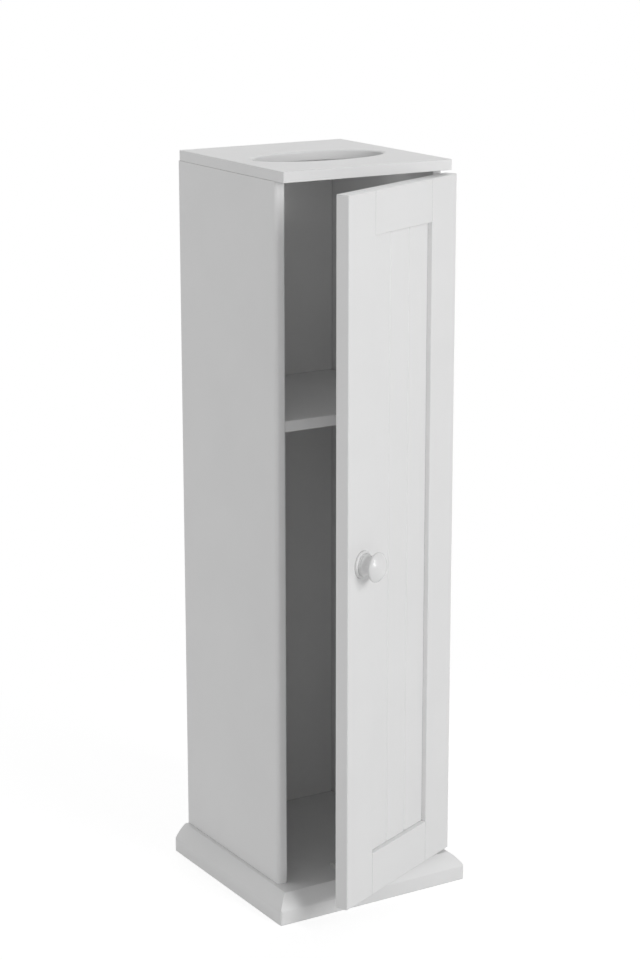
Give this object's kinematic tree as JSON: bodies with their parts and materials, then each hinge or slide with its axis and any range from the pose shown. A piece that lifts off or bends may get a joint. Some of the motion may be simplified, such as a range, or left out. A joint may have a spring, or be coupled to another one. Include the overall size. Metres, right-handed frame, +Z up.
{
  "type": "toilet paper storage cabinet",
  "caption": "Tall slim free-standing cabinet for spare toilet rolls, with a hinged framed door, a fixed shelf, an oval dispensing slot in its top and a moulded base",
  "frame": {"origin": "the middle of the base's underside, on the floor", "axes": "+Z up, -Y towards the front where the door is, +X to the right as one faces the door, where the hinges are"},
  "size_m": [0.2, 0.2681, 0.676],
  "materials": {
    "white_paint": "medium-density fibreboard with sprayed white satin paint",
    "white_gloss": "turned wood with white gloss paint",
    "beech": "bare beech",
    "zinc_steel": "bright zinc plating",
    "hinge_steel": "nickel plating",
    "white_plastic": "moulded white plastic",
    "magnet": "bare ferrite"
  },
  "bodies": {
    "cabinet": {"base_board": "white_paint", "left_side_panel": "white_paint", "right_side_panel": "white_paint", "top_panel": "white_paint", "shelf": "white_paint", "back_panel": "white_paint", "base_dowels": "beech", "shelf_dowels": "beech", "top_dowels": "beech", "base_screws": "zinc_steel", "back_panel_nails": "zinc_steel", "upper_hinge_cabinet_leaf": "hinge_steel", "upper_hinge_pin": "hinge_steel", "lower_hinge_cabinet_leaf": "hinge_steel", "lower_hinge_pin": "hinge_steel", "cabinet_hinge_screws": "zinc_steel", "catch_housing": "white_plastic", "catch_magnet": "magnet", "catch_pole_plates": "zinc_steel", "catch_screws": "zinc_steel"},
    "door": {"door_free_stile": "white_paint", "door_hinge_stile": "white_paint", "door_top_rail": "white_paint", "door_bottom_rail": "white_paint", "door_panel": "white_paint", "knob": "white_gloss", "knob_screw": "zinc_steel", "upper_hinge_door_leaf": "hinge_steel", "lower_hinge_door_leaf": "hinge_steel", "door_hinge_screws": "zinc_steel", "strike_plate": "zinc_steel", "strike_screw": "zinc_steel"}
  },
  "joints": [
    {"name": "door_hinge", "type": "hinge", "parent": "cabinet", "child": "door", "pos_m": [0.0879, -0.0716, 0.34575], "axis": [0, 0, 1], "range_deg": [-24.3, 155.7]}
  ]
}
